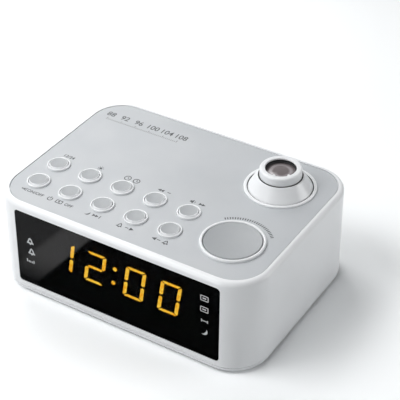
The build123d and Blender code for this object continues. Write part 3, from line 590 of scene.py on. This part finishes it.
def bar(shape, start, end, width=ink["stroke"], endWidth=None):
    # a printed stroke; another width at its end makes a wedge, and nearly none a triangle
    made = bmesh.ops.create_cube(shape, size=1)["verts"]
    if endWidth is not None:
        bmesh.ops.scale(shape, vec=(1, endWidth / width, 1), verts=[vert for vert in made if vert.co.x > 0])
    start, end = Vector((*start, 0)), Vector((*end, 0))
    run = end - start
    turn = Matrix.Rotation(math.atan2(run.y, run.x), 4, "Z")
    size = Matrix.Diagonal((run.length, width, ink["thickness"], 1))
    bmesh.ops.transform(shape, matrix=Matrix.Translation((start + end) / 2) @ turn @ size, verts=made)


def blob(shape, x, y, radius, hollow=0.0):
    # a printed disc; hollow scoops its right side out, which makes a crescent
    made = bmesh.ops.create_cone(
        shape, cap_ends=True, segments=ink["discSides"], radius1=radius, radius2=radius,
        depth=ink["thickness"])["verts"]
    if hollow:
        bmesh.ops.scale(shape, vec=(-hollow, 1, 1), verts=[vert for vert in made if vert.co.x > 0])
    bmesh.ops.translate(shape, vec=(x, y, 0), verts=made)
    return made


def hoop(shape, x, y, radius, start=0.0, sweep=360.0, width=ink["stroke"]):
    # a printed ring or arc, spun from its small section
    beginning = at(x, y) @ Matrix.Rotation(math.radians(start), 4, "Z") @ at(radius, 0)
    upright = Matrix.Rotation(math.radians(90), 4, "X") @ Matrix.Diagonal((width, ink["thickness"], 1, 1))
    made = bmesh.ops.create_grid(
        shape, x_segments=1, y_segments=1, size=0.5, matrix=beginning @ upright)["verts"]
    section = made[0].link_faces[:]
    closed = sweep == 360.0
    if closed:
        rim = section[0].edges[:]
        bmesh.ops.delete(shape, geom=section, context="FACES_ONLY")
        section = made + rim
    bmesh.ops.spin(shape, geom=section, cent=(x, y, 0), axis=(0, 0, 1), angle=math.radians(sweep),
                   steps=max(ink["leastArcSteps"], round(sweep / ink["arcStep"])), use_merge=closed)


# each mark is drawn about its middle; what stands before size below is a share of the mark
def frameMark(shape, x, y, width, height):
    # the outline of an upright rectangle
    for side in (-1, 1):
        bar(shape, (x - width / 2, y + side * height / 2), (x + width / 2, y + side * height / 2))
        bar(shape, (x + side * width / 2, y - height / 2), (x + side * width / 2, y + height / 2))


def screenMark(shape, x, y, size):
    # a lit screen: its frame and a dot
    frameMark(shape, x, y, 1.15 * size, 0.7 * size)
    blob(shape, x, y, 0.18 * size)


def bellMark(shape, x, y, size, weight=0.15):
    # crown, flared sides, lip, clapper and knob
    stroke, crown, shoulder, lip = weight * size, 0.2 * size, y + 0.16 * size, y - 0.28 * size
    hoop(shape, x, shoulder, crown, sweep=180, width=stroke)
    for side in (-1, 1):
        bar(shape, (x + side * crown, shoulder), (x + side * 0.36 * size, y - 0.24 * size), stroke)
    bar(shape, (x - 0.52 * size, lip), (x + 0.52 * size, lip), stroke)
    blob(shape, x, y - 0.42 * size, 0.12 * size)
    blob(shape, x, y + 0.44 * size, 0.09 * size)


def moonMark(shape, x, y, size, hollow=0.45, turn=140):
    # a crescent that opens towards turn degrees
    made = blob(shape, 0, 0, size / 2, hollow)
    bmesh.ops.transform(shape, matrix=at(x, y) @ Matrix.Rotation(math.radians(turn), 4, "Z"), verts=made)


def powerMark(shape, x, y, size, start=125, sweep=290):
    # a ring open at the top, with a bar in the gap
    hoop(shape, x, y, size / 2 - ink["stroke"] / 2, start, sweep)
    bar(shape, (x, y + 0.05 * size), (x, y + 0.58 * size))


def clockMark(shape, x, y, size):
    # a clock's rim and two hands
    hoop(shape, x, y, size / 2 - ink["stroke"] / 2)
    bar(shape, (x, y), (x, y + 0.3 * size), ink["fineStroke"])
    bar(shape, (x, y), (x + 0.24 * size, y - 0.1 * size), ink["fineStroke"])


def sunMark(shape, x, y, size, rays=8, width=0.3):
    blob(shape, x, y, 0.22 * size)
    for step in range(rays):
        angle = math.radians(360 * step / rays)
        way = Vector((math.cos(angle), math.sin(angle)))
        bar(shape, Vector((x, y)) + 0.32 * size * way, Vector((x, y)) + 0.5 * size * way, width)


def arrowMark(shape, x, y, size, way=1):
    # a filled triangle that points right, or left where way is -1
    bar(shape, (x - way * size / 2, y), (x + way * size / 2, y), size, 0.02 * size)


def skipMark(shape, x, y, size, way=1):
    arrowMark(shape, x - way * 0.5 * size, y, size, way)
    arrowMark(shape, x + way * 0.4 * size, y, size, way)


def dashMark(shape, x, y, size):
    bar(shape, (x - size / 2, y), (x + size / 2, y))


def stopMark(shape, x, y, size):
    # the upright bar that a skip ends at
    bar(shape, (x, y - 0.35 * size), (x, y + 0.35 * size))


def speakerMark(shape, x, y, size, width=0.3):
    # magnet, horn and one wave of sound
    back = x - 0.25 * size
    bar(shape, (x - 0.5 * size, y), (back, y), 0.4 * size)
    bar(shape, (back, y), (x + 0.1 * size, y), 0.4 * size, 0.95 * size)
    hoop(shape, x + 0.05 * size, y, 0.35 * size, start=-45, sweep=90, width=width)


def beamMark(shape, x, y, size):
    # a lamp that throws a widening beam
    blob(shape, x - 0.5 * size, y, 0.16 * size)
    for slope in (-1, 0, 1):
        start, end = (x - 0.25 * size, y + slope * 0.1 * size), (x + 0.5 * size, y + slope * 0.4 * size)
        bar(shape, start, end, ink["fineStroke"])


def plugMark(shape, x, y, size, stroke=0.4, signHalf=0.5):
    # a centre pin in its open sleeve, joined to a minus at the left and a plus at the right
    blob(shape, x, y, 0.13 * size)
    hoop(shape, x, y, 0.36 * size, start=40, sweep=280, width=stroke)
    for side in (-1, 1):
        bar(shape, (x + side * 0.5 * size, y), (x + side * 0.95 * size, y), stroke)
        sign = x + side * 1.35 * size
        bar(shape, (sign - signHalf, y), (sign + signHalf, y), ink["fineStroke"])
    plus = x + 1.35 * size
    bar(shape, (plus, y - signHalf), (plus, y + signHalf), ink["fineStroke"])


def headsetMark(shape, x, y, size, stroke=0.4, pad=0.9):
    # a headband and its two ear pads
    hoop(shape, x, y, 0.45 * size, start=-30, sweep=240, width=stroke)
    for side in (-1, 1):
        ear = x + side * 0.42 * size
        bar(shape, (ear, y - 0.4 * size), (ear, y + 0.05 * size), pad)


def aerialMark(shape, x, y, size, stroke=0.4):
    # a mast and two arms
    bar(shape, (x, y - 0.55 * size), (x, y + 0.5 * size), stroke)
    for side in (-1, 1):
        bar(shape, (x, y - 0.05 * size), (x + side * 0.45 * size, y + 0.5 * size), stroke)


def write(shape, words, x, y, height):
    # printed figures or letters, centred on x, standing on y; height is that of a capital
    curve = bpy.data.curves.new("lettering", "FONT")
    curve.body = words
    curve.align_x = "CENTER"
    curve.size = height / ink["capitalShare"]
    curve.extrude = ink["thickness"] / 2
    curve.offset = ink["letterSpread"]
    curve.resolution_u = ink["letterSteps"]
    holder = bpy.data.objects.new("lettering", curve)
    mesh = bpy.data.meshes.new_from_object(holder)
    mesh.transform(at(x, y))
    letters = bmesh.new()
    letters.from_mesh(mesh)
    bmesh.ops.remove_doubles(letters, verts=letters.verts, dist=ink["weld"])
    letters.to_mesh(mesh)
    letters.free()
    shape.from_mesh(mesh)
    bpy.data.objects.remove(holder)
    bpy.data.curves.remove(curve)
    bpy.data.meshes.remove(mesh)


keyMarks = {
    # by each key: a mark or words, its place across from the key's middle in mm, its share of the usual
    # size, and for some the way it points
    1: ((beamMark, -2.2, 0.9), ("ON/OFF", 5.2, 1.0)),
    2: ((powerMark, -6.5, 1.0), (screenMark, -0.4, 1.0), ("OFF", 6.0, 1.0)),
    3: ((moonMark, -3.1, 1.0), (skipMark, 2.4, 0.6), (stopMark, 5.0, 1.0)),
    4: ((bellMark, -3.7, 1.0), (dashMark, 0.8, 0.6), (arrowMark, 3.9, 0.75)),
    5: ((arrowMark, -3.7, 0.75, -1), (dashMark, -0.7, 0.6), (bellMark, 3.6, 1.0)),
    6: (("12/24", 0.0, 1.1),),
    7: ((sunMark, 0.4, 1.1),),
    8: ((clockMark, -2.8, 1.25), (clockMark, 3.0, 1.25)),
    9: ((skipMark, -2.6, 0.6, -1), (dashMark, 2.8, 0.6)),
    10: ((skipMark, 2.6, 0.6), (speakerMark, -3.4, 1.0)),
}
plateMarks = {
    "drop": 9.5, "rise": 9.65,  # mm from a key's middle to its marks, in front and behind
    "markSize": 3.4, "letterHeight": 2.2,
    "tickRadius": 20.8, "tickFrom": 42, "tickTo": 132, "tickCount": 25, "tickLength": 1.7, "tickWidth": 0.6,
    "scaleFrom": -71.0, "scaleTo": -22.0, "scaleY": 37.0,
    "scaleFigures": ("88", "92", "96", "100", "104", "108"), "figureRise": 4.0, "figureHeight": 4.2,
    "finePerFigure": 8, "mainLength": 2.2, "fineLength": 1.1, "lineWidth": 0.28,
}


def markKeys(shape, values):
    size, capital = values["markSize"], values["letterHeight"]
    for number, marks in keyMarks.items():
        middle = boxOf(f"button_{number}")[2]
        y = middle.y - values["drop"] if number in frontKeys else middle.y + values["rise"]
        for what, across, share, *way in marks:
            if isinstance(what, str):
                write(shape, what, middle.x + across, y - capital / 2, share * capital)
            else:
                what(shape, middle.x + across, y, share * size, *way)


def markSnoozeKey(shape, values):
    middle = boxOf("snooze_button")[2].xy
    near = values["tickRadius"] - values["tickLength"] / 2
    for step in range(values["tickCount"]):
        share = step / (values["tickCount"] - 1)
        angle = math.radians(values["tickFrom"] + share * (values["tickTo"] - values["tickFrom"]))
        way = Vector((math.cos(angle), math.sin(angle)))
        bar(shape, middle + near * way, middle + (near + values["tickLength"]) * way, values["tickWidth"])


def markTuningScale(shape, values):
    figures, fine, foot = values["scaleFigures"], values["finePerFigure"], values["scaleY"]
    steps = fine * (len(figures) - 1)
    for step in range(steps + 1):
        x = values["scaleFrom"] + (values["scaleTo"] - values["scaleFrom"]) * step / steps
        main = step % fine == 0
        length = values["mainLength"] if main else values["fineLength"]
        bar(shape, (x, foot), (x, foot + length), values["lineWidth"])
        if main:
            write(shape, figures[step // fine], x, foot + values["figureRise"], values["figureHeight"])


def makePlatePrints(values):
    # grey marks in front of and behind the keys, ticks round the snooze key and a tuning scale
    shape = bmesh.new()
    markKeys(shape, values)
    markSnoozeKey(shape, values)
    markTuningScale(shape, values)
    plateTop = boxOf("top_plate")[1].z
    bmesh.ops.translate(shape, vec=(0, 0, plateTop + inkLift), verts=shape.verts)
    asPiece("plate_prints", shape, greyInk, "case")


def standOn(node, way, steep=0.9):
    # stands a flat print up on a node's front (way -1) or back (way 1): its y becomes the height in mm
    sides = [polygon for polygon in nodes[node].data.polygons if way * polygon.normal.y > steep]
    face = max(sides, key=lambda polygon: polygon.area)
    normal = face.normal
    upwards = Vector((0, -way * normal.z, way * normal.y)).normalized()
    foot = face.center / mm
    foot -= upwards * (foot.z / upwards.z)  # where the plane meets the base level
    lift = normal * inkLift
    return Matrix((
        (-way, 0, normal.x, lift.x),
        (0, upwards.y, normal.y, foot.y + lift.y),
        (0, upwards.z, normal.z, foot.z + lift.z),
        (0, 0, 0, 1),
    ))


windowMarks = {
    # places are mm across from the middle of the clock, and up
    "bells": ((-56.0, 36.6), (-55.5, 29.6)), "bellSize": 4.3, "bellWeight": 0.2,
    "combFrom": (-59.0, 21.8), "combPitch": 1.15, "combBars": (2.0, 1.2, 1.2, 1.2, 2.0), "combWidth": 0.65,
    "screens": ((56.4, 45.2), (56.4, 38.0)), "boxWidth": 4.4, "boxHeight": 3.0,
    "screenBar": 2.2, "screenBarWidth": 0.8,
    "bracket": (56.6, 30.5), "bracketLength": 3.6, "bracketEnd": 1.8, "bracketEndWidth": 0.55,
    "moon": (56.2, 23.6), "moonSize": 4.6,
}


def makeWindowMarks(values):
    # pale marks on the window's face: alarms and sleep at the left, modes at the right
    shape = bmesh.new()
    for x, z in values["bells"]:
        bellMark(shape, x, z, values["bellSize"], values["bellWeight"])
    left, foot = values["combFrom"]
    for step, tall in enumerate(values["combBars"]):
        x = left + values["combPitch"] * step
        bar(shape, (x, foot), (x, foot + tall), values["combWidth"])
    half = values["screenBar"] / 2
    for x, z in values["screens"]:
        frameMark(shape, x, z, values["boxWidth"], values["boxHeight"])
        bar(shape, (x - half, z), (x + half, z), values["screenBarWidth"])
    x, z = values["bracket"]
    dashMark(shape, x, z, values["bracketLength"])
    half = values["bracketEnd"] / 2
    for end in (x - values["bracketLength"] / 2, x + values["bracketLength"] / 2):
        bar(shape, (end, z - half), (end, z + half), values["bracketEndWidth"])
    moonMark(shape, *values["moon"], values["moonSize"])

    bmesh.ops.transform(shape, matrix=standOn("display_window", -1), verts=shape.verts)
    asPiece("window_marks", shape, paleInk, "case")


backMarks = {
    "rise": 8.5, "size": 3.4,  # mm
    "sockets": (("dc_inlet", plugMark), ("aux_jack", headsetMark), ("aerial_grommet", aerialMark)),
}


def makeBackMarks(values):
    # what each socket on the back takes: the plug with its poles, a headset, the aerial wire
    shape = bmesh.new()
    height = boxOf("dc_inlet")[2].z + values["rise"]
    for socket, mark in values["sockets"]:
        mark(shape, -boxOf(socket)[2].x, height, values["size"])
    bmesh.ops.transform(shape, matrix=standOn("upper_shell", 1), verts=shape.verts)
    asPiece("back_marks", shape, greyInk, "case")


def profileRing(shape, x, y, points, steps=96):
    # a closed ring about an upright axis, spun from its section; points are (radius, height) in mm
    corners = [shape.verts.new((x + radius, y, height)) for radius, height in points]
    edges = [shape.edges.new((corners[index - 1], corners[index])) for index in range(len(corners))]
    bmesh.ops.spin(shape, geom=corners + edges, cent=(x, y, 0), axis=(0, 0, 1), angle=math.tau,
                   steps=steps, use_merge=True)


# a black ring whose black is partly painted shade, and two white clips that are partly painted highlights
retainer = {
    "inner": 8.0, "outer": 8.5, "rise": 0.45, "bevel": 0.12,
    "sink": 0.25,  # mm below the carrier's edge
    "clipReach": 2.5, "clipWidth": 1.3, "clipLap": 0.1, "clipLift": 0.1, "clipBevelSteps": 2,
    "clipTurns": (-97, -18),  # degrees round from the right side
}


def makeLensRetainerShadeAndGlints(values):
    # the black snap ring that holds the lens, its black also painted shade for the dark arc inside the
    # ring, and two small white clips over the lens's edge, set where the lens shows two glints: painted
    # highlights as much as clips
    center = boxOf("projector_lens")[2]
    inner, outer, bevel = values["inner"], values["outer"], values["bevel"]
    top = boxOf("lens_carrier")[1].z - values["sink"]
    foot = top - values["rise"]
    shape = bmesh.new()
    profileRing(shape, center.x, center.y, (
        (inner, foot), (outer, foot), (outer, top - bevel), (outer - bevel, top), (inner + bevel, top),
        (inner, top - bevel)))
    asPiece("lens_retainer_painted_shade", shape, black, "lens")
    # the two white clips stand for the two glints at the lens's front edge: painted highlights
    glintClips = bmesh.new()
    reach = values["clipReach"]
    for turn in values["clipTurns"]:
        made = bmesh.ops.create_cube(glintClips, size=1)["verts"]
        place = at(center.x, center.y) @ Matrix.Rotation(math.radians(turn), 4, "Z")
        height = (foot + top) / 2 + values["clipLift"]
        middle = Matrix.Translation((inner - reach / 2 + values["clipLap"], 0, height))
        size = Matrix.Diagonal((reach, values["clipWidth"], values["rise"], 1))
        bmesh.ops.transform(glintClips, matrix=place @ middle @ size, verts=made)
    bmesh.ops.bevel(glintClips, geom=glintClips.edges[:], offset=bevel, segments=values["clipBevelSteps"],
                    profile=0.5, affect="EDGES", material=-1)
    asPiece("lens_glint_clips", glintClips, white, "lens")


focusGapShade = {"gap": 0.06, "width": 0.7, "depth": 0.5, "proud": 0.12, "bevel": 0.1}


def makeFocusGapShade(values):
    # a thin black felt ring in the projector's head round the focus ring: it stands for the dark gap under
    # the focus ring, as painted shade
    ringLow, ringHigh, center = boxOf("focus_ring")
    headTop = boxOf("projector_dome")[1].z
    inner = (ringHigh.x - ringLow.x) / 2 + values["gap"]
    outer, top = inner + values["width"], headTop + values["proud"]
    shape = bmesh.new()
    foot, bevel = headTop - values["depth"], values["bevel"]
    profileRing(shape, center.x, center.y, (
        (inner, foot), (outer, foot), (outer, top - bevel), (outer - bevel, top), (inner, top)))
    asPiece("focus_gap_shade_felt", shape, shadeFelt, "projector_head")


socketGapShade = {"opening": 18.35, "gap": 0.01, "width": 0.28, "low": 0.9, "high": 0.3, "bevel": 0.1}


def makeSocketGapShade(values):
    # a black felt ring inside the socket's mouth, round the projector's ball: it stands for the dark gap
    # between the ball and the socket, as painted shade
    mouth, center = boxOf("projector_socket")[1:]
    outer, inner = values["opening"] - values["gap"], values["opening"] - values["width"]
    foot, top = mouth.z - values["low"], mouth.z - values["high"]
    shape = bmesh.new()
    profileRing(shape, center.x, center.y, (
        (inner, foot), (outer, foot), (outer, top), (inner + values["bevel"], top)))
    asPiece("socket_gap_shade_felt", shape, shadeFelt, "case")


for pieceMaker, pieceValues in (
    (makePlatePrints, plateMarks),
    (makeWindowMarks, windowMarks),
    (makeBackMarks, backMarks),
    (makeLensRetainerShadeAndGlints, retainer),
    (makeFocusGapShade, focusGapShade),
    (makeSocketGapShade, socketGapShade),
):
    pieceMaker(pieceValues)
print("prints and small pieces made")
